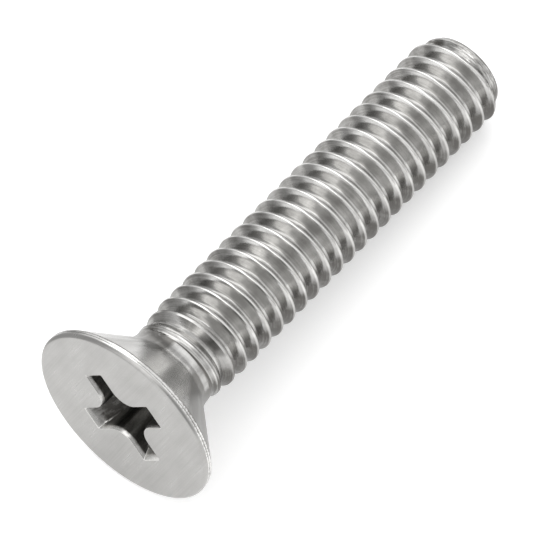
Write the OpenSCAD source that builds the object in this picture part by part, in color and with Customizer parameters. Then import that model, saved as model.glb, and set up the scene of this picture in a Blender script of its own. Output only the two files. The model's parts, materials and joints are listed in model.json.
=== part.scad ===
// Countersunk machine screw with a cross recess, threaded up to its head.
// One turned and rolled piece of stainless steel, lying as it comes to rest:
// on the rim of its head and on the last full crest of its thread.
// Millimetres, +Z up, origin under the middle of the screw on the surface it lies on.

/* [Thread] */
// Outer diameter over the crests
thread_d = 3.84; // [3.7:0.01:4]
// Distance from one crest to the next along the screw
pitch = 0.7; // [0.5:0.05:0.8]
// Diameter of the smooth blank that the thread is rolled on
blank_d = 3.48; // [3.3:0.01:3.6]
// Turn of the thread about the screw, which sets where its crests lie
thread_turn = 176; // [0:1:359]
// Smooth neck between the head's cone and the first trace of thread
neck_len = 0.1; // [0:0.05:0.5]
// Length over which the thread grows from the blank to its full height
runout_len = 1.6; // [0.7:0.1:2.8]

/* [Length] */
// Overall length, measured from the head's face as on every countersunk screw
screw_len = 20; // [12:1:30]

/* [Tip] */
// Diameter of the flat end
tip_d = 3.2; // [2.6:0.05:3.4]
// Angle between the tip's chamfer and the screw's axis
tip_angle = 30; // [20:1:45]
// Diameter up to which the last groove is filled at the tip
fill_d = 3.3; // [3:0.05:3.4]
// Length of the tip over which that groove stays filled
fill_len = 0.35; // [0.2:0.05:0.6]

/* [Head] */
// Diameter over the rim
head_d = 7.68; // [7:0.02:8.4]
// Angle of the countersunk cone, from side to side
cone_angle = 90; // [82:1:100]
// Radius of the rounded edge around the face
edge_r = 0.14; // [0.05:0.01:0.2]
// Straight land of the rim, between that edge and the cone
land_len = 0.18; // [0.1:0.01:0.4]
// Radius of the hollow where the cone runs into the neck
neck_r = 1; // [0.5:0.05:1.2]

/* [Cross recess] */
// Span of the cross over two opposite wings, at the face
recess_span = 3.96; // [3.6:0.02:4.4]
// Width of a wing
wing_w = 0.98; // [0.8:0.02:1.2]
// Slope of a wing's end, from the screw's axis
wing_slope = 26.5; // [24:0.5:29]
// Span of the wings where they reach the floor of the recess
floor_span = 2.29; // [2:0.01:2.4]
// Slope of the conical floor, from the face's plane
floor_slope = 28; // [20:1:32]
// Radius of the rounded corners of steel between the wings
flute_r = 0.7; // [0.4:0.05:0.8]
// Depth of the slightly open lip around the mouth
lip_len = 0.16; // [0.1:0.01:0.3]
// Distance by which the walls below the lip stand in from the mouth
lip_in = 0.055; // [0.02:0.005:0.1]
// Turn of the cross about the screw
recess_turn = 43; // [0:1:89]

/* [Hidden] */

// Facets of the thread around the screw, and of the round shapes
thread_sides = 36;
round_sides = 96;
edge_sides = 48;
// Small length by which a cutter reaches past the face that it cuts
reach = 0.2;
// Depth by which the head's neck is sunk into the blank, so that the two cross cleanly
neck_sink = 0.04;
// Length in front of the filled tip over which its groove fills up
fill_rise = 0.3;
// Spare turns of the helix that lie past the thread's start and past the tip
turns_before = 2;
turns_past = 3;

thread_r = thread_d / 2;
blank_r = blank_d / 2;
tip_r = tip_d / 2;
head_r = head_d / 2;
face_r = head_r - edge_r;
land_end = edge_r + land_len;

// Sizes of the metric screw thread profile, as shares of its pitch
sharp_h = pitch * sqrt(3) / 2;
crest_w = pitch / 8;
root_w = pitch / 4;
flank_h = sharp_h * 5 / 8;
thread_h = sharp_h * 17 / 24;

// The cone runs down to the neck, which lies a little inside the blank
half_cone = cone_angle / 2;
neck_core_r = blank_r - neck_sink;
cone_end = land_end + (head_r - neck_core_r) / tan(half_cone);
hollow_len = neck_r * tan(half_cone / 2);
neck_end = cone_end + hollow_len;
thread_start = neck_end - hollow_len / 4;
runout_start = land_end + (head_r - blank_r) / tan(half_cone) + neck_len;

// Points of one pitch of the profile: place along the screw and depth below the crest
PROFILE = [
    [-crest_w / 2, 0],
    [crest_w / 2, 0],
    [(pitch - root_w) / 2, flank_h],
    [pitch / 2, thread_h],
    [(pitch + root_w) / 2, flank_h]
];
// The same profile over the pitch around one crest, to look its depth up at any place
DEPTHS = [
    [-pitch / 2, thread_h],
    [-(pitch - root_w) / 2, flank_h],
    [-crest_w / 2, 0],
    [crest_w / 2, 0],
    [(pitch - root_w) / 2, flank_h],
    [pitch / 2, thread_h]
];
profile_n = len(PROFILE);
// Turns are counted from the head's face, and a few spare ones lie past both ends
first_turn = floor(thread_start / pitch) - turns_before;
turns = ceil(screw_len / pitch) - first_turn + turns_past;
rows = turns * profile_n;

// Place of a crest on the meridian at an angle, for a turn of the thread
function crest_place(turn, angle) =
    pitch * (first_turn + turn + (angle - thread_turn) / 360);

// Largest radius that the tip's chamfer leaves
function chamfer_r(place) = tip_r + (screw_len - place) * tan(tip_angle);

// Share of its full height that the thread has reached
function grown(place) = min(1, max(0, (place - runout_start) / runout_len));

// Radius down to which the groove reaches at a place, shallower towards the tip
function groove_r(place) =
    let (filled = min(1, max(0, (place - screw_len + fill_len) / fill_rise + 1)))
    (thread_r - thread_h) * (1 - filled) + fill_d / 2 * filled;

// Radius of the thread at a place, for a depth of its profile
function radius_at(place, depth) =
    min(
        chamfer_r(place),
        max(groove_r(place), blank_r + grown(place) * (thread_r - depth - blank_r))
    );

// Place of a point within the pitch around its nearest crest
function from_crest(place, angle) =
    let (away = (place - crest_place(0, angle)) / pitch) pitch * (away - round(away));

// Radius of the thread where a plane across the screw cuts a meridian
function section_r(place, angle) = radius_at(place, lookup(from_crest(place, angle), DEPTHS));

// Place on the screw of a point of the helix, before the ends are cut square
function row_place(side, row) =
    crest_place(floor(row / profile_n), 360 * side / thread_sides) + PROFILE[row % profile_n][0];

// Point on a meridian, at a radius and a place
function on_side(side, radius, place) =
    let (angle = 360 * side / thread_sides) [radius * cos(angle), radius * sin(angle), place];

// Tilt of the lying screw: the crest nearest the tip that meets the surface first
REST_CRESTS = [
    for (turn = [0:turns])
        let (place = crest_place(turn, 180) + crest_w / 2)
        if (place > screw_len / 2 && place < screw_len)
            (head_r - radius_at(place, 0)) / (place - land_end)
];
tilt = atan(min(REST_CRESTS));
head_x = edge_r * cos(tilt) - face_r * sin(tilt) - edge_r;
tip_x = screw_len * cos(tilt) + section_r(screw_len, 0) * sin(tilt);
axis_h = land_end * sin(tilt) + head_r * cos(tilt);

// Half of the head's section: face, rounded edge, land, cone and the hollow at the neck
module head_section() {
    corner = [neck_core_r, cone_end];
    on_cone = corner + hollow_len * [sin(half_cone), -cos(half_cone)];
    on_neck = corner + [0, hollow_len];
    centre = on_neck + [neck_r, 0];
    polygon([
        [0, 0], [face_r, 0], [face_r, edge_r], [head_r, edge_r],
        [head_r, land_end], corner, on_neck, [0, neck_end]
    ]);
    translate([face_r, edge_r])
        circle(r = edge_r, $fn = edge_sides);
    difference() {
        polygon([corner, on_cone, centre, on_neck]);
        translate(centre)
            circle(r = neck_r, $fn = round_sides);
    }
}

// Solid of the threaded shank: rows of points wound along the helix, cut square at both ends
module thread() {
    sides = [0:thread_sides - 1];
    helix = [
        for (side = sides)
            for (row = [0:rows - 1])
                let (place = row_place(side, row))
                on_side(side, radius_at(place, PROFILE[row % profile_n][1]), place)
    ];
    start_ring = [for (side = sides) on_side(side, blank_r, thread_start)];
    end_ring = [
        for (side = sides)
            on_side(side, section_r(screw_len, 360 * side / thread_sides), screw_len)
    ];
    hubs = [[0, 0, thread_start], [0, 0, screw_len]];
    ring_at = len(helix);
    hub_at = ring_at + 2 * thread_sides;

    // Number of a point: past an end it is the end's own, and the last side
    // meets the first one a whole turn further along the helix
    function point_at(side, row) =
        side == thread_sides ? point_at(0, row + profile_n) :
        row_place(side, row) <= thread_start ? ring_at + side :
        row_place(side, row) >= screw_len ? ring_at + thread_sides + side :
        side * rows + row;

    // Two triangles for each patch of the wall, less those that an end has flattened
    wall = [
        for (side = sides)
            for (row = [0:rows - profile_n - 2])
                let (near = point_at(side, row), far = point_at(side, row + 1))
                let (next_near = point_at(side + 1, row), next_far = point_at(side + 1, row + 1))
                for (face = [[near, far, next_far], [near, next_far, next_near]])
                    if (face[0] != face[1] && face[1] != face[2] && face[2] != face[0]) face
    ];
    caps = [
        for (side = sides)
            let (next = (side + 1) % thread_sides)
            each [
                [hub_at, ring_at + side, ring_at + next],
                [hub_at + 1, ring_at + thread_sides + next, ring_at + thread_sides + side]
            ]
    ];
    polyhedron(points = concat(helix, start_ring, end_ring, hubs), faces = concat(wall, caps));
}

// Section of the cross: two bars with rounded steel corners between them
module cross_section(inset) {
    flute_c = wing_w / 2 + flute_r;
    bar_w = wing_w - 2 * inset;
    square([recess_span + 2 * reach, bar_w], center = true);
    square([bar_w, recess_span + 2 * reach], center = true);
    difference() {
        square(2 * flute_c, center = true);
        for (x = [-1, 1])
            for (y = [-1, 1])
                translate([x, y] * flute_c)
                    circle(r = flute_r + inset, $fn = edge_sides);
    }
}

// Wedge across the screw, from half a width at the face to another at a depth
module wedge(top, bottom, depth) {
    above = top + (top - bottom) * reach / depth;
    rotate([90, 0, 0])
        linear_extrude(height = 2 * recess_span, center = true)
            polygon([[-above, -reach], [above, -reach], [bottom, depth], [-bottom, depth]]);
}

// What two wedges across each other have in common
module crossed_wedges(top, bottom, depth) {
    intersection() {
        wedge(top, bottom, depth);
        rotate([0, 0, 90])
            wedge(top, bottom, depth);
    }
}

// The lip around the mouth, which narrows to the section of the walls below it
module lip() {
    flute_c = wing_w / 2 + flute_r;
    end_in = lip_in + lip_len * tan(wing_slope);
    for (angle = [0, 90])
        rotate([0, 0, angle])
            intersection() {
                wedge(recess_span / 2, recess_span / 2 - end_in, lip_len);
                rotate([0, 0, 90])
                    wedge(wing_w / 2, wing_w / 2 - lip_in, lip_len);
            }
    difference() {
        translate([-flute_c, -flute_c, -reach])
            cube([2 * flute_c, 2 * flute_c, reach + lip_len]);
        for (x = [-1, 1])
            for (y = [-1, 1])
                translate([x * flute_c, y * flute_c, -2 * reach])
                    cylinder(
                        h = 2 * reach + 2 * lip_len,
                        r1 = flute_r - 2 * reach * lip_in / lip_len,
                        r2 = flute_r + 2 * lip_in,
                        $fn = edge_sides
                    );
    }
}

// The cross recess that takes the driver's tip
module recess() {
    floor_r = floor_span / 2;
    wing_depth = (recess_span / 2 - floor_r) / tan(wing_slope);
    depth = wing_depth + floor_r * tan(floor_slope);
    wall_end = recess_span / 2 - lip_in;
    lip();
    intersection() {
        translate([0, 0, lip_len / 2])
            linear_extrude(height = depth)
                cross_section(lip_in);
        crossed_wedges(wall_end, wall_end - depth * tan(wing_slope), depth);
        rotate_extrude($fn = round_sides)
            polygon([
                [0, -reach], [recess_span, -reach], [recess_span, wing_depth],
                [floor_r, wing_depth], [0, depth]
            ]);
    }
}

// The whole screw, laid down on its rim and its last crest
module screw() {
    color([0.77, 0.77, 0.76])
        translate([-(head_x + tip_x) / 2, 0, axis_h])
            rotate([180, tilt - 90, 0])
                difference() {
                    union() {
                        rotate_extrude($fn = round_sides)
                            head_section();
                        thread();
                    }
                    rotate([0, 0, recess_turn])
                        recess();
                }
}

screw();
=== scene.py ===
"""Looks of a countersunk machine screw with a cross recess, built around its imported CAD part.

The screw is one turned and rolled piece of stainless steel. Its head is a lathe form with the
cross recess lofted into its face, and its thread is wound by Geometry Nodes. Both are joined
into one closed mesh, which stands for the CAD node and lies where that node lies.
Sizes are in millimetres and degrees until a mesh is built, and the scene is in metres.
"""

from __future__ import annotations

import json
import logging
import math
from dataclasses import dataclass
from enum import Enum
from typing import Any

import bmesh
import bpy
from mathutils import Matrix, Vector

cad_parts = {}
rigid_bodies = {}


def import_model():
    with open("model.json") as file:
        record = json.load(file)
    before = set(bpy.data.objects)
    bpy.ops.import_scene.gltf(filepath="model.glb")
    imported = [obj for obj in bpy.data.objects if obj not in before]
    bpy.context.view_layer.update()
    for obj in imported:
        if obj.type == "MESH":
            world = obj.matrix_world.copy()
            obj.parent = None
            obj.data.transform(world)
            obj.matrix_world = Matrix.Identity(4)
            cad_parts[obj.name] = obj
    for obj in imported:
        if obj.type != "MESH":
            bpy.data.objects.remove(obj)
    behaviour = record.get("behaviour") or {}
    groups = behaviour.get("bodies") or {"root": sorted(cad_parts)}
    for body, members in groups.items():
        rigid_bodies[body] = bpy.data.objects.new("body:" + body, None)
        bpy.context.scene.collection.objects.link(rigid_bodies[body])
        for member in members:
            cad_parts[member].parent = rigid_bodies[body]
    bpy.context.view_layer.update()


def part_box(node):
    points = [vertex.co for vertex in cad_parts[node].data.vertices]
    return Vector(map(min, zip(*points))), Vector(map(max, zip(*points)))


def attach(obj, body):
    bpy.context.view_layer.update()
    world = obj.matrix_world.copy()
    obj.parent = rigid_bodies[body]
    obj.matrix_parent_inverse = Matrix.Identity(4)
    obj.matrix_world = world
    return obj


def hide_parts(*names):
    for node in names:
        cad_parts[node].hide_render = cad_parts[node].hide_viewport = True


LOG = logging.getLogger("screw")
MM = 0.001
CAD_NODE = "screw"
CAD_BODY = "root"
SIDES = 128
WELD = 1e-6
SHARP_ANGLE = 32.0
Point = tuple[float, float, float]
Number = float | int
Colour = tuple[float, float, float]


class Region(Enum):
    """Regions of the screw's surface, each with a finish and a material slot of its own."""

    FACE = 0
    CONE = 1
    THREAD = 2
    RECESS = 3


@dataclass(frozen=True)
class ThreadSizes:
    """Sizes of the rolled thread and its two ends.

    Attributes:
        outer_d: diameter over the crests.
        pitch: distance from one crest to the next.
        blank_d: diameter of the smooth blank under the head.
        turn: turn of the thread about the screw.
        runout_len: length over which the thread grows to its full depth.
        crest_round: radius of the crest's two corners.
        screw_len: overall length from the head's face.
        tip_d: diameter of the flat end.
        tip_angle: angle between the tip's chamfer and the axis.
        dimple: depth of the shallow hollow in the flat end.
        fill_d: diameter up to which the last groove is filled at the tip.
        fill_len: length over which it fills, in front of the full chamfer.
        full_len: length of the chamfered tip that is filled throughout.
    """

    outer_d: float = 3.84
    pitch: float = 0.7
    blank_d: float = 3.48
    turn: float = 176.0
    runout_len: float = 1.5
    crest_round: float = 0.03
    screw_len: float = 20.0
    tip_d: float = 3.2
    tip_angle: float = 30.0
    dimple: float = 0.06
    fill_d: float = 3.3
    fill_len: float = 0.3
    full_len: float = 0.35

    @property
    def crest_w(self) -> float:
        """Width of the flat crest before its corners are rounded."""
        return self.pitch / 8

    @property
    def sharp_depth(self) -> float:
        """Depth at which two neighbouring flanks would meet."""
        return (self.pitch - self.crest_w) / 2 * math.tan(math.radians(60))

    @property
    def root_round(self) -> float:
        """Radius of the hollow root of the metric profile."""
        return self.pitch * math.sqrt(3) / 12

    @property
    def thread_depth(self) -> float:
        """Depth of the hollow root below the crest."""
        return self.sharp_depth - self.root_round

    def profile(self) -> list[tuple[float, float]]:
        """Gives the points of one pitch of the profile, from one crest to the next.

        Returns:
            Pairs of a place along the screw, from the crest, and a depth below the crest.
        """
        corner_x = self.crest_w / 2 - self.crest_round * math.tan(math.radians(30))
        steps = [math.radians(a) for a in (0, 20, 40, 60)]
        corner = [
            (corner_x + self.crest_round * math.sin(a), self.crest_round * (1 - math.cos(a)))
            for a in steps
        ]
        centre = self.sharp_depth - 2 * self.root_round
        root = [
            (
                self.pitch / 2 + self.root_round * math.sin(math.radians(a)),
                centre + self.root_round * math.cos(math.radians(a)),
            )
            for a in range(-60, 61, 20)
        ]
        middle = ((corner[-1][0] + root[0][0]) / 2, (corner[-1][1] + root[0][1]) / 2)
        rising = [(self.pitch - x, depth) for x, depth in reversed([*corner, middle])]
        return [*corner, middle, *root, *rising]

    def crest_place(self, turn: int, angle: float) -> float:
        """Gives how far from the head's face a turn's crest lies at an angle in degrees."""
        return self.pitch * (turn + (angle - self.turn) / 360)


@dataclass(frozen=True)
class HeadSizes:
    """Sizes of the countersunk head.

    Attributes:
        head_d: diameter over the rim.
        cone_angle: angle of the cone from side to side.
        edge_r: radius of the rounded edge around the face.
        land_len: straight land between that edge and the cone.
        heel_r: radius of the rounded corner between land and cone.
        neck_r: radius of the hollow between cone and neck.
    """

    head_d: float = 7.68
    cone_angle: float = 90.0
    edge_r: float = 0.14
    land_len: float = 0.18
    heel_r: float = 0.06
    neck_r: float = 1.0

    @property
    def face_r(self) -> float:
        """Radius of the flat face inside its rounded edge."""
        return self.head_d / 2 - self.edge_r

    @property
    def land_end(self) -> float:
        """Place at which the land meets the cone."""
        return self.edge_r + self.land_len


@dataclass(frozen=True)
class RecessSizes:
    """Sizes of the cross recess.

    Attributes:
        span: span over two opposite wings at the face.
        wing_w: width of a wing.
        wing_slope: slope of a wing's end from the axis.
        floor_span: span of the wings at the floor.
        floor_slope: slope of the conical floor from the face's plane.
        flute_r: radius of the steel corners between the wings.
        corner_r: radius of a wing's two corners at the face.
        lip_len: depth of the smooth, slightly open band below the mouth.
        lip_in: distance by which the walls below that band stand in from the mouth.
        turn: turn of the cross about the screw.
    """

    span: float = 3.96
    wing_w: float = 0.98
    wing_slope: float = 26.5
    floor_span: float = 2.29
    floor_slope: float = 28.0
    flute_r: float = 0.7
    corner_r: float = 0.07
    lip_len: float = 0.16
    lip_in: float = 0.055
    turn: float = 43.0

    @property
    def wing_depth(self) -> float:
        """Depth at which the wings reach the conical floor."""
        return (self.span - self.floor_span) / 2 / math.tan(math.radians(self.wing_slope))

    @property
    def depth(self) -> float:
        """Depth of the floor's centre."""
        return self.wing_depth + self.floor_span / 2 * math.tan(math.radians(self.floor_slope))


class Field:
    """A socket of a node tree that can be calculated with, in shader and geometry trees alike."""

    def __init__(self, graph: "Graph", socket: bpy.types.NodeSocket) -> None:
        """Wraps an output socket of a tree."""
        self.graph = graph
        self.socket = socket

    def math(self, operation: str, *others: "Field | Number") -> "Field":
        """Adds a Math node for an operation on the value and its other operands."""
        return self.graph.math(operation, self, *others)

    def __add__(self, other: "Field | Number") -> "Field":
        """Adds."""
        return self.math("ADD", other)

    def __radd__(self, other: Number) -> "Field":
        """Adds to a number."""
        return self.graph.math("ADD", other, self)

    def __sub__(self, other: "Field | Number") -> "Field":
        """Subtracts."""
        return self.math("SUBTRACT", other)

    def __rsub__(self, other: Number) -> "Field":
        """Subtracts from a number."""
        return self.graph.math("SUBTRACT", other, self)

    def __mul__(self, other: "Field | Number") -> "Field":
        """Multiplies."""
        return self.math("MULTIPLY", other)

    def __rmul__(self, other: Number) -> "Field":
        """Multiplies a number."""
        return self.graph.math("MULTIPLY", other, self)

    def __truediv__(self, other: "Field | Number") -> "Field":
        """Divides."""
        return self.math("DIVIDE", other)

    def __rtruediv__(self, other: Number) -> "Field":
        """Divides a number."""
        return self.graph.math("DIVIDE", other, self)

    def clamp(self, low: "Field | Number" = 0.0, high: "Field | Number" = 1.0) -> "Field":
        """Keeps the value between two others."""
        return self.math("MAXIMUM", low).math("MINIMUM", high)

    def step(self, low: Number, high: Number) -> "Field":
        """Rises smoothly from 0 at low to 1 at high, or falls where low is the larger."""
        if low > high:
            return 1.0 - self.step(high, low)
        ends = {"Value": self, "From Min": low, "From Max": high}
        smooth = {"interpolation_type": "SMOOTHSTEP"}
        return self.graph.field("ShaderNodeMapRange", smooth, ends, "Result")

    def blend(self, low: "Field", high: "Field") -> "Field":
        """Gives low where the value is 0 and high where it is 1."""
        return self * (high - low) + low


class Graph:
    """A node tree being built: every node is added by one method, its settings before its sockets."""

    def __init__(self, tree: bpy.types.NodeTree) -> None:
        """Wraps a shader or geometry tree and empties it."""
        self.tree = tree
        tree.nodes.clear()

    def node(
        self,
        kind: str,
        settings: dict[str, Any] | None = None,
        inputs: dict[str | int, Any] | None = None,
    ) -> bpy.types.Node:
        """Adds a node.

        Args:
            kind: the node's type name.
            settings: its properties, set first.
            inputs: a value, a Field or a socket for each input, by name or number.

        Returns:
            The node.
        """
        node = self.tree.nodes.new(kind)
        for name, value in (settings or {}).items():
            setattr(node, name, value)
        for key, value in (inputs or {}).items():
            socket = node.inputs[key]
            if isinstance(value, Field):
                self.tree.links.new(value.socket, socket)
            elif isinstance(value, bpy.types.NodeSocket):
                self.tree.links.new(value, socket)
            else:
                socket.default_value = value
        return node

    def field(
        self,
        kind: str,
        settings: dict[str, Any] | None = None,
        inputs: dict[str | int, Any] | None = None,
        output: str | int = 0,
    ) -> Field:
        """Adds a node and gives one of its outputs as a Field."""
        return Field(self, self.node(kind, settings, inputs).outputs[output])

    def math(self, operation: str, *operands: Field | Number) -> Field:
        """Adds a Math node for an operation and gives its result."""
        return self.field("ShaderNodeMath", {"operation": operation}, dict(enumerate(operands)))

    def dot(self, vector: Field, axis: Vector) -> Field:
        """Gives the part of a vector along an axis."""
        vectors = {0: vector, 1: tuple(axis)}
        return self.field("ShaderNodeVectorMath", {"operation": "DOT_PRODUCT"}, vectors, "Value")

    def vector(self, x: Field | Number, y: Field | Number, z: Field | Number) -> Field:
        """Combines three values into a vector."""
        return self.field("ShaderNodeCombineXYZ", None, {"X": x, "Y": y, "Z": z})

    def mix(self, share: Field, low: Colour, high: Colour) -> Field:
        """Gives one colour where the share is 0 and the other where it is 1."""
        colours = {0: share, 6: (*low, 1.0), 7: (*high, 1.0)}
        return self.field("ShaderNodeMix", {"data_type": "RGBA"}, colours, 2)

    def surface(self, inputs: dict[str | int, Any]) -> None:
        """Closes a material's tree with a shader that has the given inputs."""
        shader = self.node("ShaderNodeBsdfPrincipled", None, inputs)
        self.node("ShaderNodeOutputMaterial", None, {"Surface": shader.outputs["BSDF"]})


def new_material(name: str) -> tuple[bpy.types.Material, Graph]:
    """Adds a material and gives its empty tree with it."""
    material = bpy.data.materials.new(name)
    material.use_nodes = True
    return material, Graph(material.node_tree)


def new_object(name: str, data: bpy.types.ID) -> bpy.types.Object:
    """Adds an object to the scene, at the origin and unturned."""
    made = bpy.data.objects.new(name, data)
    bpy.context.scene.collection.objects.link(made)
    return made


@dataclass(frozen=True)
class Mark:
    """A mark around a place along the screw, or on a side of the screw.

    Attributes:
        middle: its middle, in millimetres along the screw or in degrees about it.
        full: distance from the middle up to which it is fully there.
        faded: distance at which it has faded.
        weight: how much duller it makes the steel, and for a mark of painted shade how much darker;
            below zero it makes the steel cleaner, and for a painted highlight lighter.
    """

    middle: float
    full: float
    faded: float
    weight: float = 1.0

    def at(self, place: Field) -> Field:
        """Gives the mark's weight around its middle, and zero away from it."""
        away = (place - self.middle).math("ABSOLUTE")
        return away.step(self.faded, self.full) * self.weight


@dataclass(frozen=True)
class Layout:
    """Places the screw's own frame in the part's frame, lying on its rim and its last crest.

    Attributes:
        thread: sizes of the thread.
        head: sizes of the head.
    """

    thread: ThreadSizes
    head: HeadSizes

    def tilt(self) -> float:
        """Gives the tilt of the axis in radians, set by the crest that meets the floor first."""
        sizes = self.thread
        slopes = []
        for turn in range(int(sizes.screw_len / sizes.pitch) + 2):
            place = sizes.crest_place(turn, 180.0) + sizes.crest_w / 2
            if not sizes.screw_len / 2 < place < sizes.screw_len:
                continue
            chamfer = (sizes.screw_len - place) * math.tan(math.radians(sizes.tip_angle))
            radius = min(sizes.outer_d / 2, sizes.tip_d / 2 + chamfer)
            slopes.append((self.head.head_d / 2 - radius) / (place - self.head.land_end))
        return math.atan(min(slopes))

    def axes(self) -> tuple[Vector, Vector, Vector]:
        """Gives the screw's own x, y and z axes in the part's frame."""
        tilt = self.tilt()
        sine, cosine = math.sin(tilt), math.cos(tilt)
        return Vector((sine, 0, cosine)), Vector((0, -1, 0)), Vector((cosine, 0, -sine))

    def origin(self) -> Vector:
        """Gives the centre of the head's face in metres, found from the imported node's box."""
        tilt = self.tilt()
        head = self.head
        overhang = head.edge_r * (math.cos(tilt) - 1) - head.face_r * math.sin(tilt)
        height = head.land_end * math.sin(tilt) + head.head_d / 2 * math.cos(tilt)
        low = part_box(CAD_NODE)[0]
        return Vector((low.x - overhang * MM, 0.0, height * MM))

    def matrix(self) -> Matrix:
        """Gives the matrix from the screw's own frame to the part's frame."""
        return Matrix.Translation(self.origin()) @ Matrix(self.axes()).transposed().to_4x4()


@dataclass(frozen=True)
class SteelFinish:
    """Finish of one region of the steel.

    Attributes:
        dark: colour where the steel is dull, and where painted shade is full.
        light: colour where it is clean, and where a painted highlight is full.
        roughness: roughness where it is clean.
        worn: how much rougher it is where it is dull, painted shade included.
        relief: height of the fine marks in millimetres.
    """

    dark: Colour
    light: Colour
    roughness: float
    worn: float
    relief: float


FINISHES: dict[Region, SteelFinish] = {
    Region.FACE: SteelFinish((0.31, 0.305, 0.295), (0.455, 0.45, 0.44), 0.26, 0.06, 0.0005),
    Region.CONE: SteelFinish((0.18, 0.175, 0.166), (0.82, 0.815, 0.80), 0.17, 0.12, 0.0016),
    Region.THREAD: SteelFinish((0.12, 0.115, 0.107), (0.80, 0.795, 0.78), 0.13, 0.10, 0.0014),
    Region.RECESS: SteelFinish((0.11, 0.105, 0.098), (0.58, 0.575, 0.56), 0.25, 0.12, 0.0040),
}


class SteelMarks:
    """Draws the marks on the steel of one region, from where a point lies on the screw.

    Each drawing gives how dull the steel is, with painted shade and painted highlights added, from 0
    to 1, and the height of its fine marks.
    Angles about the screw are in the screw's own frame, where FACING looks at the camera.
    """

    FACING = 19.5
    # Painted highlight in the neck's hollow, below and in the middle; the side's weight below zero
    # paints it lighter.
    NECK_HIGHLIGHT = Mark(2.69, 0.08, 0.18)
    NECK_HIGHLIGHT_SIDE = Mark(38.0, 26.0, 42.0, -0.40)
    NECK_ROUGH = Mark(2.74, 0.12, 0.20)
    NECK_ROUGH_SIDE = Mark(-36.0, 14.0, 28.0)
    RIM_SCRATCH = Mark(0.21, 0.01, 0.03)
    RIM_HEEL = Mark(0.33, 0.02, 0.05)
    RIM_PITS = Mark(60.0, 20.0, 50.0)
    # Painted shade on the rim's upper side.
    RIM_TOP_SHADE = Mark(-65.0, 25.0, 50.0, 0.35)
    CONE_STAIN = Mark(-4.0, 2.0, 8.0)
    # Darker over the front of the cone near the rim.
    CONE_FRONT_DARKENING = Mark(27.0, 8.0, 40.0, 0.4)
    # Painted shade on the cone's lower side and underside, a painted highlight on its front, and
    # painted shade on its upper side.
    CONE_LOWER_SHADE = Mark(55.0, 50.0, 80.0, 0.10)
    CONE_UNDERSIDE_SHADE = Mark(75.0, 26.0, 46.0, 0.50)
    CONE_FRONT_HIGHLIGHT = Mark(14.0, 24.0, 34.0, -0.12)
    CONE_UPPER_SHADE = Mark(-42.0, 34.0, 48.0)
    CREST_EDGE = Mark(0.075, 0.018, 0.040, 0.22)
    # Painted shade that takes the painted crest highlight off the underside.
    CREST_UNDERSIDE_SHADE = Mark(80.0, 20.0, 50.0, 0.30)
    # Away from this front band the thread gets painted shade, on the sides turned from the camera.
    THREAD_FRONT = Mark(FACING, 41.0, 63.0)
    # Painted shade on the flanks' underside, a painted highlight on the flanks near the front, and a
    # painted sheen on the lower flanks.
    FLANK_UNDERSIDE_SHADE = Mark(105.0, 30.0, 60.0, 0.20)
    FLANK_HIGHLIGHT = Mark(-6.0, 14.0, 28.0, -0.13)
    FLANK_LOWER_SHEEN = Mark(56.0, 14.0, 26.0, -0.12)
    # Painted shade in the roots on one side, around the front.
    ROOT_SHADE = Mark(2.0, 16.0, 28.0, 0.07)
    TIP_EDGE = Mark(-0.03, 0.03, 0.07, 0.4)
    # Painted glint on one side of the recess's lip.
    LIP_GLINT = Mark(180.0, 10.0, 28.0, -0.4)

    def __init__(self, graph: Graph, layout: Layout, recess: RecessSizes) -> None:
        """Works out where a point lies: along the screw, from its axis, and about it.

        Args:
            graph: the material's tree.
            layout: where the screw lies.
            recess: sizes of the recess.
        """
        self.graph = graph
        self.thread, self.head, self.recess = layout.thread, layout.head, recess
        origin = layout.origin()
        spot = graph.field("ShaderNodeTexCoord", None, None, "Object")
        self.x, self.y, self.along = (
            (graph.dot(spot, axis) - origin.dot(axis)) / MM for axis in layout.axes()
        )
        self.spot = graph.vector(self.x, self.y, self.along)
        self.radius = (self.x * self.x + self.y * self.y).math("SQRT")
        self.turned = self.y.math("ARCTAN2", self.x) / math.tau
        wound = self.along / self.thread.pitch - self.turned + self.thread.turn / 360
        self.from_crest = wound.math("WRAP", 0.5, -0.5)
        self.helix = self.along / self.thread.pitch - self.from_crest
        self.depth = self.thread.outer_d / 2 - self.radius

    def draw(self, region: Region) -> tuple[Field, Field]:
        """Draws the marks of a region."""
        return {
            Region.FACE: self.face,
            Region.CONE: self.cone,
            Region.THREAD: self.rolled_thread,
            Region.RECESS: self.punched_recess,
        }[region]()

    def noise(
        self, where: Field, scale: float, detail: float = 2.0, roughness: float = 0.5
    ) -> Field:
        """Gives smooth noise around zero, with a number of finer layers and their weight."""
        inputs = {"Vector": where, "Scale": scale, "Detail": detail, "Roughness": roughness}
        return self.graph.field("ShaderNodeTexNoise", None, inputs, "Fac") - 0.5

    def around(self, finer: float, along: float) -> Field:
        """Gives a point for noise that closes around the screw, finer about and along it."""
        angle = self.turned * math.tau
        return self.graph.vector(
            angle.math("COSINE") * finer, angle.math("SINE") * finer, self.along * along
        )

    def towards(self, angle: float) -> Field:
        """Gives the distance from the axis in a direction about the screw."""
        turn = math.radians(angle)
        return self.x * math.cos(turn) + self.y * math.sin(turn)

    def on(self, side: Mark) -> Field:
        """Gives the weight of a mark on its side of the screw, and zero away from it."""
        ends = (math.cos(math.radians(angle)) for angle in (side.faded, side.full))
        return (self.towards(side.middle) / self.radius).step(*ends) * side.weight

    def neck(self, grain: Field) -> Field:
        """Marks the hollow under the cone: a painted highlight below and in the middle, rough above.

        Args:
            grain: fine noise.

        Returns:
            How much duller the steel is, and below zero where the highlight is painted.
        """
        rough = self.NECK_ROUGH.at(self.along) * self.on(self.NECK_ROUGH_SIDE)
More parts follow.
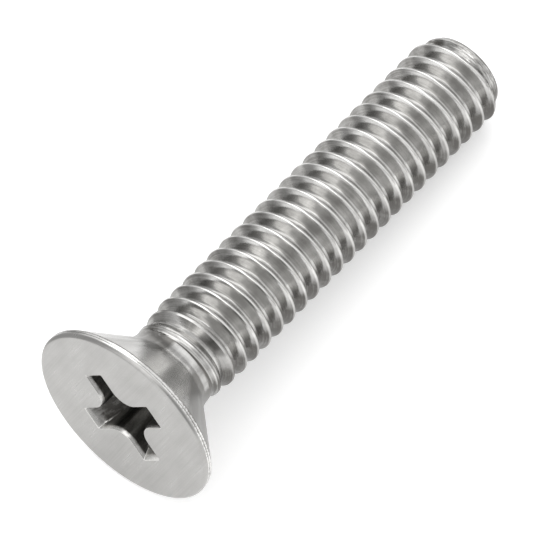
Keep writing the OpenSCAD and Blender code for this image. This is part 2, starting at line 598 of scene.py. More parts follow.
        # Painted highlight: lighter steel low in the neck's hollow.
        polish_and_highlight = self.NECK_HIGHLIGHT.at(self.along) * self.on(self.NECK_HIGHLIGHT_SIDE)
        return rough * (grain * 5.0 + 0.60) + polish_and_highlight

    def face(self) -> tuple[Field, Field]:
        """Draws the face: fine straight lines from grinding, faint clouds and a fine grain."""
        across, beside = self.towards(self.FACING), self.towards(self.FACING + 90)
        vector = self.graph.vector
        broad = self.noise(vector(across * 0.16, beside * 5.0, 0.0), 1.0, 2.0, 0.6)
        lines = self.noise(vector(across * 0.3, beside * 22.0, 0.0), 1.0, 2.0, 0.6)
        clouds = self.noise(vector(across * 0.5, beside, self.along), 1.1, 3.0)
        grain = self.noise(self.spot, 24.0)
        dull_and_shade = 0.42 + clouds * 0.9 + lines * 0.6 + broad * 0.4 + grain * 0.5
        return dull_and_shade, lines * 0.5 + broad * 0.8 + grain * 0.4

    def cone(self) -> tuple[Field, Field]:
        """Draws rim and cone: turned rings, radial smudges, a pitted rim, a narrow stain and a darker
        front near the rim, with painted shade on the rim's upper side and on the cone's upper side,
        lower side and underside, and a painted highlight on its front.
        """
        ringed = self.graph.vector(self.along * 9.0, self.turned.math("SINE"), self.turned * 2.0)
        rings = self.noise(ringed, 1.0, 1.0)
        smudges = self.noise(self.around(5.0, 0.35), 1.0, 3.0, 0.6)
        grain = self.noise(self.spot, 14.0)
        outer, land = self.head.head_d / 2, self.head.land_end
        rim = self.radius.step(outer - 0.10, outer - 0.04)
        rim = rim * self.along.step(land + 0.02, land - 0.02)
        uneven = self.along + grain * 0.05
        worn = self.RIM_SCRATCH.at(uneven) + self.RIM_HEEL.at(uneven)
        pits = (rim * self.on(self.RIM_PITS) * (grain + 0.08) * 3.0).clamp()
        stained = self.on(self.CONE_STAIN) * self.along.step(1.1, 1.9)
        spread = self.on(self.CONE_FRONT_DARKENING) * self.along.step(0.4, 1.4)
        upper = self.on(self.CONE_UPPER_SHADE) * (0.38 + self.along.step(1.4, 2.0) * 0.20)
        dull_and_shade = 0.40 + smudges * 0.9 + grain * 0.12 - rim * 0.34
        # Darker at the narrow stain and over the cone's front near the rim.
        dull_and_shade = dull_and_shade + stained.math("MAXIMUM", spread) * 0.24
        # Painted shade on the cone's underside, upper side and lower side, a painted highlight on its
        # front, and painted shade on the rim's upper side.
        dull_and_shade = dull_and_shade + (self.on(self.CONE_UNDERSIDE_SHADE) + upper) * (1.0 - rim)
        dull_and_shade = dull_and_shade + self.on(self.CONE_LOWER_SHADE) + self.on(self.CONE_FRONT_HIGHLIGHT)
        dull_and_shade = dull_and_shade + (worn + pits) * 0.5 + rim * self.on(self.RIM_TOP_SHADE) + self.neck(grain)
        return dull_and_shade, rings * 0.5 + smudges * 0.8 + grain * 0.2 - worn * 1.5 - pits

    def rolled_thread(self) -> tuple[Field, Field]:
        """Draws the thread: polished crests hatched across with a painted highlight, drawn flanks,
        painted shade on the sides turned from the camera, on the underside and in the roots, and
        painted highlights on the flanks.
        """
        vector = self.graph.vector
        length = self.thread.screw_len
        crest, root = self.depth.step(0.05, 0.01), self.depth.step(0.28, 0.40)
        flank = 1.0 - crest
        # Polished crest tops, with a painted highlight along their head-side half.
        polish_and_highlight = self.depth.step(0.02, 0.003) * self.from_crest.step(0.02, -0.015)
        root_side = self.from_crest.step(-0.36, -0.42)
        tip = self.along.step(length - 0.75, length - 0.60)
        first_turn = self.along.step(3.7, 3.2)
        fold = (0.5 - self.from_crest.math("ABSOLUTE")).step(0.10, 0.03)
        fold = fold * self.along.step(3.3, 2.9)
        drawn = vector(self.depth * 22.0, self.helix * 2.2, self.from_crest.math("SIGN"))
        streaks = self.noise(drawn, 1.0, 3.0, 0.6)
        clouds = self.noise(self.spot, 1.6, 3.0)
        grain = self.noise(self.spot, 18.0, 3.0, 0.6)
        hatch = self.noise(vector(self.turned * 260.0, self.along * 1.5, 0.0), 1.0)
        ringed = self.noise(self.around(3.0, 12.0), 1.0, 4.0, 0.7)
        rolled = self.noise(vector(self.from_crest * 12.0, self.helix * 1.5, 0.0), 1.0, 3.0)
        dull_and_shade = 0.49 + clouds * 0.6 + streaks * 0.5 + grain * 0.3
        # Painted shade on the thread's sides turned from the camera.
        dull_and_shade = dull_and_shade + (1.0 - self.on(self.THREAD_FRONT)) * 0.28
        dull_and_shade = dull_and_shade + self.CREST_EDGE.at(self.from_crest) * (1.0 - tip)
        # Polish and painted highlight on the crests, with painted shade on their underside.
        dull_and_shade = dull_and_shade - polish_and_highlight * (0.44 - self.on(self.CREST_UNDERSIDE_SHADE)) - crest * 0.06
        # Painted shade on the flanks' underside, a painted highlight near the front and a painted
        # sheen lower down.
        dull_and_shade = dull_and_shade + self.on(self.FLANK_UNDERSIDE_SHADE) * flank
        dull_and_shade = dull_and_shade + self.on(self.FLANK_HIGHLIGHT) * (1.0 - root_side * 0.7) * flank
        dull_and_shade = dull_and_shade + self.on(self.FLANK_LOWER_SHEEN) * flank
        # Roots a little cleaner, with painted shade in their head-side part.
        dull_and_shade = dull_and_shade - root * 0.10 + root * root_side * (self.on(self.ROOT_SHADE) + 0.08)
        dull_and_shade = dull_and_shade + first_turn * (rolled + 0.05) * 1.8 + fold * 0.7
        dull_and_shade = dull_and_shade + tip * ((ringed + 0.05) * 2.2 + 0.10)
        dull_and_shade = dull_and_shade + self.TIP_EDGE.at(self.along - length) + self.neck(grain)
        height = streaks * flank * 0.7 + grain * 0.6 + hatch * crest * 1.4 - fold * 3.0
        return dull_and_shade, height + first_turn * rolled * 3.0 + tip * ringed * 5.0

    def punched_recess(self) -> tuple[Field, Field]:
        """Draws the recess: streaks that the punch left down its walls, a polished lip with a painted
        glint on one side, painted shade deeper down and on one wing, and a painted highlight along
        one wing's corner.
        """
        size = self.recess
        wing, side = self.towards(size.turn), self.towards(size.turn + 90)
        long, short = wing.math("ABSOLUTE"), side.math("ABSOLUTE")
        far, beside = long.math("MAXIMUM", short), long.math("MINIMUM", short)
        wing_end = size.span / 2 - size.lip_in
        from_end = far - (wing_end - self.along * math.tan(math.radians(size.wing_slope)))
        wall = size.wing_w / 2 - size.lip_in
        # Painted highlight along the corner between one wing's end and one of its side walls.
        corner = beside.step(wall - 0.065, wall - 0.025) * from_end.step(-0.08, -0.02)
        corner = corner * wing.step(0.0, -0.1) * side.step(0.0, 0.1) * self.along.step(0.9, 0.3)
        down = self.graph.vector(self.x * 7.0, self.y * 7.0, self.along * 0.8)
        streaks = self.noise(down, 1.0, 3.0, 0.65)
        grain = self.noise(self.spot, 14.0, 3.0)
        lip = self.along.step(size.lip_len, 0.04)
        # Painted shade: darker deeper down the recess and towards the sides of each wing, and on one
        # wing.
        depth_shade = (self.along + beside * 0.9).step(0.15, 0.70)
        shaded = wing.step(-0.4, -0.8) * self.along.step(0.12, 0.40)
        dull_and_shade = 0.32 + depth_shade * 0.28 + shaded * 0.34 + streaks * 1.3 + grain * 0.5 - lip * 0.50
        # Painted glint on one side of the lip, and a painted highlight along one wing's corner.
        dull_and_shade = dull_and_shade + lip * self.on(self.LIP_GLINT) - corner
        return dull_and_shade, streaks * (1.0 - lip) + grain * 0.4


def steel(region: Region, layout: Layout, recess: RecessSizes) -> bpy.types.Material:
    """Builds the steel of a region.

    Args:
        region: the region.
        layout: where the screw lies.
        recess: sizes of the recess.

    Returns:
        Its material.
    """
    finish = FINISHES[region]
    material, graph = new_material(f"steel_{region.name.lower()}")
    marks, height = SteelMarks(graph, layout, recess).draw(region)
    # Dullness together with the painted shade and painted highlights of the marks.
    dull_and_shade = marks.clamp()
    relief = {"Strength": 1.0, "Distance": finish.relief * MM, "Height": height}
    graph.surface(
        {
            "Base Color": graph.mix(dull_and_shade, finish.light, finish.dark),
            "Metallic": 1.0,
            "Roughness": dull_and_shade * finish.worn + finish.roughness,
            "Normal": graph.field("ShaderNodeBump", None, relief, "Normal"),
        }
    )
    return material


@dataclass
class Head:
    """The countersunk head down to its neck, with the cross recess in its face.

    Attributes:
        head: sizes of the head.
        recess: sizes of the recess.
        thread: sizes of the thread that it runs into.

    The rings of the mesh are set by the distance of the innermost ring from the rounded edge,
    the depth and the spread of each ring of the recess's lip, the shares of the band below it,
    the steps of the walls, and the shares of the floor's radius.
    """

    INNER_RING = 0.05
    LIP = ((0.0, 0.045), (0.0, 0.018), (0.004, 0.008), (0.014, 0.0))
    BAND_SHARES = (0.3, 0.6, 0.9, 1.0, 1.12)
    WALL_STEPS = 12
    FLOOR_SHARES = (0.8, 0.55, 0.3, 0.1)

    head: HeadSizes
    recess: RecessSizes
    thread: ThreadSizes

    @property
    def neck_end(self) -> float:
        """Place at which the hollow of the neck reaches the blank."""
        return self._corner() + self._hollow()

    def _corner(self) -> float:
        """Place at which the cone would meet the blank without its hollow."""
        drop = (self.head.head_d - self.thread.blank_d) / 2
        return self.head.land_end + drop / math.tan(math.radians(self.head.cone_angle / 2))

    def _hollow(self) -> float:
        """Length of the hollow along the blank and along the cone."""
        return self.head.neck_r * math.tan(math.radians(self.head.cone_angle / 4))

    def outline(self) -> list[tuple[float, float]]:
        """Gives the lathe outline from the face's rim to the end of the neck.

        Returns:
            Pairs of a place along the screw and a radius.
        """
        head = self.head
        half = math.radians(head.cone_angle / 2)
        outer = head.head_d / 2
        edge = [
            (head.edge_r * (1 - math.cos(a)), head.face_r + head.edge_r * math.sin(a))
            for a in (math.radians(15 * step) for step in range(7))
        ]
        reach = head.heel_r * math.tan(half / 2)
        heel = [
            (
                head.land_end - reach + head.heel_r * math.sin(half * step / 3),
                outer - head.heel_r * (1 - math.cos(half * step / 3)),
            )
            for step in range(4)
        ]
        centre = (self.neck_end, self.thread.blank_d / 2 + head.neck_r)
        hollow = [
            (centre[0] - head.neck_r * math.sin(a), centre[1] - head.neck_r * math.cos(a))
            for a in (half * (8 - step) / 8 for step in range(9))
        ]
        cone = [
            tuple(a + (b - a) * share for a, b in zip(heel[-1], hollow[0]))
            for share in (0.02, 0.25, 0.5, 0.75, 0.98)
        ]
        return [*edge, *heel, *cone, *hollow]

    def mouth(self, depth: float, spread: float) -> list[tuple[float, float]]:
        """Gives the cross section of the recess at a depth.

        Args:
            depth: depth below the face.
            spread: distance by which the section is wider than the recess itself.

        Returns:
            The points of the section, once around, in the screw's own frame.
        """
        size = self.recess
        half_w = size.wing_w / 2
        flute_c = half_w + size.flute_r
        end = size.span / 2 - depth * math.tan(math.radians(size.wing_slope))
        corner = size.corner_r * max(0.0, 1 - depth / size.wing_depth)
        start = math.asin(max(0.0, min(1.0, (flute_c - end) / size.flute_r)))
        flute_r = size.flute_r - spread
        inner = [
            (flute_c - flute_r * math.sin(a), flute_c - flute_r * math.cos(a))
            for a in (start + (math.pi / 4 - start) * step / 6 for step in range(7))
        ]
        tangent = inner[0]
        shoulder = (max(tangent[0], end - corner), tangent[1] if start > 0 else half_w + spread)
        side = [
            tuple(a + (b - a) * step / 4 for a, b in zip(shoulder, tangent)) for step in range(4)
        ]
        rounded = corner + spread
        bend = [
            (
                shoulder[0] + rounded * math.cos(a),
                max(0.0, shoulder[1] - rounded) + rounded * math.sin(a),
            )
            for a in (math.pi / 2 * step / 4 for step in range(4))
        ]
        upper = [*bend, *side, *inner]
        lower = [(x, -y) for x, y in reversed(upper[1:])]
        wing = [*lower[1:], (upper[0][0], -upper[0][1]), (upper[0][0], 0.0), *upper]
        points = []
        for quarter in range(4):
            angle = math.radians(size.turn + 90 * quarter)
            sine, cosine = math.sin(angle), math.cos(angle)
            points += [(x * cosine - y * sine, x * sine + y * cosine) for x, y in wing]
        return points

    def recess_rings(self) -> list[list[Point]]:
        """Gives the rings of the recess, from the face to the foot of its walls."""
        size = self.recess
        rings = [self._at_depth(depth, spread) for depth, spread in self.LIP]
        for share in self.BAND_SHARES:
            rings.append(self._at_depth(size.lip_len * share, -size.lip_in * min(1.0, share)))
        band = size.lip_len * self.BAND_SHARES[-1]
        for step in range(1, self.WALL_STEPS + 1):
            depth = band + (size.wing_depth - band) * step / self.WALL_STEPS
            rings.append(self._at_depth(depth, -size.lip_in))
        foot = [(x, y, self._floor(math.hypot(x, y))) for x, y, _ in rings[-1]]
        rings.append(foot)
        for share in self.FLOOR_SHARES:
            shrunk = [(x * share, y * share) for x, y, _ in foot]
            rings.append([(x, y, self._floor(math.hypot(x, y))) for x, y in shrunk])
        return rings

    def _at_depth(self, depth: float, spread: float) -> list[Point]:
        """Gives the ring of the recess at a depth, wider than the recess by the spread."""
        return [(x, y, depth) for x, y in self.mouth(depth, spread)]

    def _floor(self, radius: float) -> float:
        """Depth of the conical floor at a radius."""
        size = self.recess
        rise = max(0.0, size.floor_span / 2 - radius) * math.tan(math.radians(size.floor_slope))
        return size.wing_depth + rise

    def build(self) -> bmesh.types.BMesh:
        """Builds the head's mesh in its own frame, in millimetres, open at the neck.

        Returns:
            The mesh, each face with the number of its region.
        """
        bm = bmesh.new()
        rim = [self._ring(bm, 0.0, self.head.face_r - self.INNER_RING)]
        rim += [self._ring(bm, place, radius) for place, radius in self.outline()]
        for near, far in zip(rim, rim[1:]):
            past_edge = far[0].co.z > self.head.edge_r + WELD
            region = Region.CONE if past_edge else Region.FACE
            self._strip(bm, near, far, region)
        holes = [[bm.verts.new(p) for p in ring] for ring in self.recess_rings()]
        self._strip(bm, holes[1], holes[0], Region.FACE)
        for near, far in zip(holes[1:], holes[2:]):
            self._strip(bm, far, near, Region.RECESS)
        hub = bm.verts.new((0.0, 0.0, self.recess.depth))
        last = holes[-1]
        for a, b in zip(last, [*last[1:], last[0]]):
            bm.faces.new((a, b, hub)).material_index = Region.RECESS.value
        self._zip(bm, holes[0], rim[0])
        return bm

    @staticmethod
    def _ring(bm: bmesh.types.BMesh, place: float, radius: float) -> list[bmesh.types.BMVert]:
        """Adds a ring of vertices around the axis."""
        angles = (math.tau * side / SIDES for side in range(SIDES))
        return [bm.verts.new((radius * math.cos(a), radius * math.sin(a), place)) for a in angles]

    @staticmethod
    def _zip(
        bm: bmesh.types.BMesh,
        inner: list[bmesh.types.BMVert],
        outer: list[bmesh.types.BMVert],
    ) -> None:
        """Fills the flat face between two rings of different counts, step by step around it.

        Args:
            bm: the head's mesh.
            inner: the ring around the mouth of the recess.
            outer: the ring inside the rim.
        """

        def angle(vert: bmesh.types.BMVert) -> float:
            """Gives the angle of a vertex about the axis, from 0 to a whole turn."""
            return math.atan2(vert.co.y, vert.co.x) % math.tau

        rings = []
        for ring in (inner, outer):
            first = min(range(len(ring)), key=lambda i: angle(ring[i]))
            turned = ring[first:] + ring[:first]
            rings.append([(angle(v), v) for v in turned] + [(angle(turned[0]) + math.tau, turned[0])])
        near, far = rings
        i = j = 0
        while i < len(near) - 1 or j < len(far) - 1:
            inward = j == len(far) - 1 or (i < len(near) - 1 and near[i + 1][0] < far[j + 1][0])
            third = near[i + 1][1] if inward else far[j + 1][1]
            face = bm.faces.new((near[i][1], far[j][1], third))
            face.material_index = Region.FACE.value
            i, j = (i + 1, j) if inward else (i, j + 1)

    @staticmethod
    def _strip(
        bm: bmesh.types.BMesh,
        near: list[bmesh.types.BMVert],
        far: list[bmesh.types.BMVert],
        region: Region,
    ) -> None:
        """Joins two rings with quads of a region."""
        pairs = list(zip(near, far))
        for (a, b), (c, d) in zip(pairs, [*pairs[1:], pairs[0]]):
            bm.faces.new((a, c, d, b)).material_index = region.value


class ThreadWinder:
    """Winds the thread with Geometry Nodes: a grid of profile rows laid along the helix."""

    def __init__(self, sizes: ThreadSizes, start: float) -> None:
        """Keeps the sizes.

        Args:
            sizes: sizes of the thread.
            start: place at which the thread begins.
        """
        self.sizes = sizes
        self.start = start
        self.first_turn = math.floor(start / sizes.pitch) - 1
        self.turns = math.ceil(sizes.screw_len / sizes.pitch) - self.first_turn + 2

    def values(self) -> dict[str, float]:
        """Gives the value of each named input of the tree."""
        sizes = self.sizes
        return {
            "Pitch": sizes.pitch,
            "Turn": sizes.turn / 360,
            "First Turn": float(self.first_turn),
            "Crest Radius": sizes.outer_d / 2,
            "Blank Radius": sizes.blank_d / 2,
            "Thread Depth": sizes.thread_depth,
            "Crest Width": sizes.crest_w,
            "Start": self.start,
            "Run-out Length": sizes.runout_len,
            "Screw Length": sizes.screw_len,
            "Tip Radius": sizes.tip_d / 2,
            "Tip Slope": math.tan(math.radians(sizes.tip_angle)),
            "Fill Radius": sizes.fill_d / 2,
            "Fill Start": sizes.screw_len - sizes.full_len - sizes.fill_len,
            "Fill Length": sizes.fill_len,
        }

    def build(self, material: bpy.types.Material) -> bpy.types.Mesh:
        """Winds the thread.

        Args:
            material: the material set on it.

        Returns:
            Its mesh in the screw's own frame, in millimetres, open at both ends.
        """
        sampled = self._profile_object()
        tree = self._tree(sampled, material)
        carrier = new_object("thread_carrier", bpy.data.meshes.new("thread_carrier"))
        modifier = carrier.modifiers.new("thread", "NODES")
        modifier.node_group = tree
        ids = {
            item.name: item.identifier
            for item in tree.interface.items_tree
            if item.item_type == "SOCKET" and item.in_out == "INPUT"
        }
        for name, value in self.values().items():
            modifier[ids[name]] = value
        depsgraph = bpy.context.evaluated_depsgraph_get()
        mesh = bpy.data.meshes.new_from_object(carrier.evaluated_get(depsgraph))
        carrier.modifiers.remove(modifier)
        for spare in (carrier, sampled):
            bpy.data.objects.remove(spare)
        return mesh

    def _profile_object(self) -> bpy.types.Object:
        """Makes the object whose vertices are the points of one pitch of the profile."""
        mesh = bpy.data.meshes.new("thread_profile")
        points = self.sizes.profile()
        chain = [(i, i + 1) for i in range(len(points) - 1)]
        mesh.from_pydata([(place, depth, 0.0) for place, depth in points], chain, [])
        return new_object("thread_profile", mesh)

    def _tree(
        self, sampled: bpy.types.Object, material: bpy.types.Material
    ) -> bpy.types.NodeTree:
        """Builds the tree.

        Args:
            sampled: the object that holds the profile.
            material: the material that the tree sets.

        Returns:
            The tree, with a named input for each size.
        """
        tree = bpy.data.node_groups.new("wind_thread", "GeometryNodeTree")
        for name in self.values():
            tree.interface.new_socket(name, in_out="INPUT", socket_type="NodeSocketFloat")
        tree.interface.new_socket("Thread", in_out="OUTPUT", socket_type="NodeSocketGeometry")
        graph = Graph(tree)
        group = graph.node("NodeGroupInput")
        size = {name: Field(graph, group.outputs[name]) for name in self.values()}
        count = len(self.sizes.profile())
        rows = self.turns * count
        grid = graph.node(
            "GeometryNodeMeshGrid", None, {"Vertices X": SIDES + 1, "Vertices Y": rows}
        )
        source = graph.field("GeometryNodeObjectInfo", None, {"Object": sampled}, "Geometry")
        index = graph.field("GeometryNodeInputIndex")
        side = (index / rows).math("FLOOR")
        row = index - side * rows
        turn = (row / count).math("FLOOR")
        share = side / SIDES
        profile = graph.node(
            "GeometryNodeSampleIndex",
            {"data_type": "FLOAT_VECTOR", "domain": "POINT"},
            {
                "Geometry": source,
                "Value": graph.field("GeometryNodeInputPosition"),
                "Index": row - turn * count,
            },
        )
        spread = graph.node("ShaderNodeSeparateXYZ", None, {0: profile.outputs["Value"]})
        wound = turn + size["First Turn"] + share - size["Turn"]
        unclipped = wound * size["Pitch"] + Field(graph, spread.outputs["X"])
        place = unclipped.clamp(size["Start"], size["Screw Length"])
        end_turn = size["Screw Length"] / size["Pitch"] - share + size["Turn"]
        cut = end_turn.math("WRAP", 0.5, -0.5)
        flank = (cut.math("ABSOLUTE") * size["Pitch"] - size["Crest Width"] / 2) * math.sqrt(3)
        past = unclipped.math("GREATER_THAN", size["Screw Length"])
        own = Field(graph, spread.outputs["Y"])
        depth = past.blend(own, flank.clamp(0.0, size["Thread Depth"]))
        grown = ((place - size["Start"]) / size["Run-out Length"]).clamp()
        top = grown.blend(size["Blank Radius"], size["Crest Radius"])
        root = size["Crest Radius"] - size["Thread Depth"]
        filled = ((place - size["Fill Start"]) / size["Fill Length"]).clamp()
        bottom = filled.blend(grown.blend(size["Blank Radius"], root), size["Fill Radius"])
        radius = (size["Crest Radius"] - depth).clamp(bottom, top)
        chamfer = (size["Screw Length"] - place) * size["Tip Slope"] + size["Tip Radius"]
        radius = radius.math("MINIMUM", chamfer)
        angle = share * math.tau
        position = graph.vector(
            radius * angle.math("COSINE"), radius * angle.math("SINE"), place
        )
        made = grid.outputs["Mesh"]
        for kind, inputs in (
            ("GeometryNodeSetPosition", {"Position": position}),
            ("GeometryNodeMergeByDistance", {"Distance": WELD / MM}),
            ("GeometryNodeRealizeInstances", {}),
            ("GeometryNodeSetMaterial", {"Material": material}),
        ):
            made = graph.node(kind, None, {"Geometry": made, **inputs}).outputs[0]
        graph.node("NodeGroupOutput", None, {"Thread": made})
        return tree


@dataclass
class Screw:
    """The whole screw as one closed piece.

    Attributes:
        thread: sizes of the thread.
        head: sizes of the head.
        recess: sizes of the recess.

    The rings of the flat end are set by shares of its radius and of its hollow's depth.
    """

    TIP_RINGS = ((0.9, 0.0), (0.7, 0.0), (0.45, 0.7), (0.15, 1.0))

    thread: ThreadSizes
    head: HeadSizes
    recess: RecessSizes

    def build(self) -> bpy.types.Object:
        """Builds the screw where it lies and hands it to the frame.

        Returns:
            The piece.
        """
        layout = Layout(self.thread, self.head)
        materials = [steel(region, layout, self.recess) for region in Region]
        head = Head(self.head, self.recess, self.thread)
        bm = head.build()
        first = len(bm.faces)
        winder = ThreadWinder(self.thread, head.neck_end)
        wound = winder.build(materials[Region.THREAD.value])
        bm.from_mesh(wound)
        bpy.data.meshes.remove(wound)
        bm.faces.ensure_lookup_table()
        for face in bm.faces[first:]:
            face.material_index = Region.THREAD.value
        bmesh.ops.remove_doubles(bm, verts=bm.verts, dist=WELD / MM)
        self._close_tip(bm)
        self._finish(bm, layout)
        mesh = bpy.data.meshes.new("screw_body")
        bm.to_mesh(mesh)
        bm.free()
        for material in materials:
            mesh.materials.append(material)
        piece = new_object("screw_body", mesh)
        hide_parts(CAD_NODE)
        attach(piece, CAD_BODY)
        LOG.info("screw_body: %d faces", len(mesh.polygons))
        return piece

    def _close_tip(self, bm: bmesh.types.BMesh) -> None:
        """Closes the flat end with a shallow hollow.

        Args:
            bm: the screw's mesh, open at its end.
        """
        rim = [e for e in bm.edges if e.is_boundary]
        outer = self.thread.tip_d / 2
        for share, sink in self.TIP_RINGS:
            made = bmesh.ops.extrude_edge_only(bm, edges=rim)["geom"]
            rim = [g for g in made if isinstance(g, bmesh.types.BMEdge) and g.is_boundary]
            for vert in {v for edge in rim for v in edge.verts}:
                angle = math.atan2(vert.co.y, vert.co.x)
                vert.co.x = outer * share * math.cos(angle)
                vert.co.y = outer * share * math.sin(angle)
                vert.co.z = self.thread.screw_len - self.thread.dimple * sink
        verts = list({v for edge in rim for v in edge.verts})
        hub = Vector((0.0, 0.0, self.thread.screw_len - self.thread.dimple))
        capped = bmesh.ops.contextual_create(bm, geom=rim)["faces"]
        poked = bmesh.ops.poke(bm, faces=capped)
        poked["verts"][0].co = hub
        for face in {f for v in verts for f in v.link_faces}:
            face.material_index = Region.THREAD.value

    @staticmethod
    def _finish(bm: bmesh.types.BMesh, layout: Layout) -> None:
        """Turns the normals outward, sets smooth and sharp edges, and lays the screw down.

        Args:
            bm: the screw's closed mesh in millimetres.
            layout: where the screw lies.
        """
        bmesh.ops.dissolve_degenerate(bm, edges=bm.edges, dist=WELD / MM / 4)
        bmesh.ops.recalc_face_normals(bm, faces=bm.faces)
        for face in bm.faces:
            face.smooth = True
        limit = math.radians(SHARP_ANGLE)
        for edge in bm.edges:
            edge.smooth = edge.is_manifold and edge.calc_face_angle(0.0) < limit
        loose = [e for e in bm.edges if not e.is_manifold]
        LOG.info("screw_body: %d open or crossed edges", len(loose))
        bmesh.ops.scale(bm, vec=(MM, MM, MM), verts=bm.verts)
        bmesh.ops.transform(bm, matrix=layout.matrix(), verts=bm.verts)


@dataclass(frozen=True)
class Panel:
    """One soft light panel of the room, or a dark one, at a great distance.

    Attributes:
        azimuth: direction of its middle about the screw, from +X towards +Y, in degrees.
        elevation: height of its middle above the floor, in degrees.
        width: angle that it spans sideways.
        height: angle that it spans upwards.
        edge: angle over which its edge fades.
        strength: brightness that it adds to the room, below zero for a dark panel.
    """

    azimuth: float
    elevation: float
    width: float
    height: float
    edge: float
    strength: float

    def light(self, graph: Graph, towards: Field) -> Field:
        """Gives the brightness that the panel adds.

        Args:
            graph: the world's tree.
            towards: the direction that is looked in.

        Returns:
            Its strength inside the panel, and zero outside.
        """
        turn, rise = math.radians(self.azimuth), math.radians(self.elevation)
        flat = Vector((math.cos(turn), math.sin(turn), 0.0))
        high = Vector((0.0, 0.0, 1.0))
        middle = flat * math.cos(rise) + high * math.sin(rise)
        above = high * math.cos(rise) - flat * math.sin(rise)
        ahead = graph.dot(towards, middle)
        seen = ahead.step(0.0, 0.1) * self.strength
        for side, span in ((middle.cross(above), self.width), (above, self.height)):
            away = graph.dot(towards, side).math("ABSOLUTE") / ahead.math("MAXIMUM", 0.05)
            half = math.radians(span / 2)
            soft = math.radians(self.edge / 2)
            seen = seen * away.step(math.tan(half + soft), math.tan(half - soft))
        return seen


# Bright beyond the screw, beside its head and overhead, dark between them, low and high past
# the tip, and under the camera.
PANELS = (
    Panel(50.0, 46.0, 38.0, 36.0, 8.0, 1.10),
    Panel(162.0, 46.0, 44.0, 32.0, 14.0, 0.55),
    Panel(107.0, 30.0, 72.0, 72.0, 12.0, -0.36),
    Panel(12.0, 14.0, 76.0, 44.0, 12.0, -0.31),
    Panel(176.0, 20.0, 60.0, 44.0, 16.0, 0.40),
    Panel(230.0, 28.0, 54.0, 60.0, 20.0, -0.42),
    Panel(4.0, 64.0, 40.0, 28.0, 16.0, -0.14),
    Panel(160.0, 84.0, 44.0, 44.0, 16.0, 1.0),
)


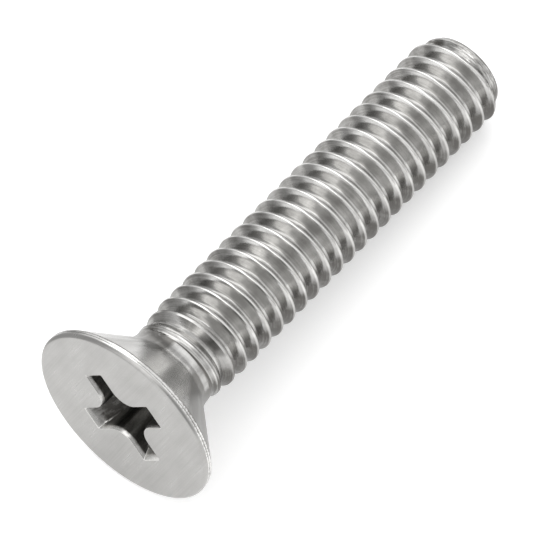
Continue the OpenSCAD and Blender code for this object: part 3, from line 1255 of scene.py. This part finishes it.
@dataclass
class Studio:
    """Floor, room and camera.

    Attributes:
        room: brightness of the plain room, where 1 is white.
        panels: the panels around the room.
        floor_size: side of the floor in metres.
        floor_tone: how bright the floor's colour is.
        floor_glow: brightness that camera and metal see on the floor besides.
        reflected_shade_tone: how bright the floor's colour is in a patch out of the picture that
            camera rays skip, a painted dark reflection for the metal.
        reflected_shade_at: distance of the patch's near side to the left of the picture's middle, in
            millimetres.
        reflected_shade_from: place along +Y at which the patch's lower side begins, in millimetres.
        target: point of the floor in the middle of the picture.
        distance: distance from the camera to that point.
        elevation: angle of the camera above the floor, in degrees.
        azimuth: direction in which the camera looks, from +X towards +Y.
        lens: focal length on a 36 mm sensor.
    """

    room: float = 0.95
    panels: tuple[Panel, ...] = PANELS
    floor_size: float = 2.0
    floor_tone: float = 0.94
    floor_glow: float = 0.32
    reflected_shade_tone: float = 0.25
    reflected_shade_at: float = 11.2
    reflected_shade_from: float = 7.0
    target: Point = (-0.000203, 0.000963, 0.0)
    distance: float = 0.27105
    elevation: float = 61.56
    azimuth: float = 38.77
    lens: float = 491.1

    def build(self) -> None:
        """Builds everything around the screw."""
        self._floor()
        self._world()
        self._camera()
        bpy.context.scene.view_settings.view_transform = "Standard"

    def _floor(self) -> None:
        """Builds the white floor, which camera and metal see as white and which keeps the shadow,
        with a darker patch out of the picture that all rays but the camera's see, a painted dark
        reflection in the metal.
        """
        half = self.floor_size / 2
        mesh = bpy.data.meshes.new("floor")
        corners = [(-half, -half, 0.0), (half, -half, 0.0), (half, half, 0.0), (-half, half, 0.0)]
        mesh.from_pydata(corners, [], [(0, 1, 2, 3)])
        material, graph = new_material("floor_white")
        path = graph.node("ShaderNodeLightPath")
        camera = Field(graph, path.outputs["Is Camera Ray"])
        seen = camera
        for name in ("Is Glossy Ray", "Is Transmission Ray"):
            seen = seen.math("MAXIMUM", Field(graph, path.outputs[name]))
        spot = graph.field("ShaderNodeTexCoord", None, None, "Object")
        left = math.radians(self.azimuth + 90)
        beside = graph.dot(spot, Vector((math.cos(left), math.sin(left), 0.0))) / MM
        behind = graph.dot(spot, Vector((0.0, 1.0, 0.0))) / MM
        # Painted dark reflection: a darker patch of floor out of the picture, hidden from camera
        # rays.
        reflected_shade = beside.step(self.reflected_shade_at, self.reflected_shade_at + 0.8)
        reflected_shade = reflected_shade * behind.step(self.reflected_shade_from, self.reflected_shade_from + 2.0) * (1.0 - camera)
        graph.surface(
            {
                "Base Color": graph.mix(reflected_shade, (self.floor_tone,) * 3, (self.reflected_shade_tone,) * 3),
                "Roughness": 0.9,
                "Specular IOR Level": 0.0,
                "Emission Color": (1.0, 1.0, 1.0, 1.0),
                "Emission Strength": seen * self.floor_glow,
            }
        )
        mesh.materials.append(material)
        new_object("floor", mesh)

    def _world(self) -> None:
        """Builds the room around the floor, with its light and dark panels."""
        world = bpy.data.worlds.new("studio")
        bpy.context.scene.world = world
        world.use_nodes = True
        graph = Graph(world.node_tree)
        towards = graph.field("ShaderNodeTexCoord", None, None, "Generated")
        strength = sum((panel.light(graph, towards) for panel in self.panels), self.room)
        shader = graph.node(
            "ShaderNodeBackground", None, {"Color": (1.0, 1.0, 1.0, 1.0), "Strength": strength}
        )
        graph.node("ShaderNodeOutputWorld", None, {"Surface": shader.outputs[0]})

    def _camera(self) -> None:
        """Sets the camera of the photograph."""
        data = bpy.data.cameras.new("camera")
        data.lens = self.lens
        data.sensor_width = 36.0
        data.clip_start, data.clip_end = 0.01, 10.0
        camera = new_object("camera", data)
        bpy.context.scene.camera = camera
        rise, turn = math.radians(self.elevation), math.radians(self.azimuth)
        flat = math.cos(rise)
        forward = Vector((flat * math.cos(turn), flat * math.sin(turn), -math.sin(rise)))
        camera.location = Vector(self.target) - forward * self.distance
        camera.rotation_euler = forward.to_track_quat("-Z", "Y").to_euler()


def main() -> None:
    """Builds the screw and its studio in order."""
    logging.basicConfig(level=logging.INFO, format="%(name)s: %(message)s")
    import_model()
    Screw(ThreadSizes(), HeadSizes(), RecessSizes()).build()
    Studio().build()


if __name__ == "__main__":
    main()
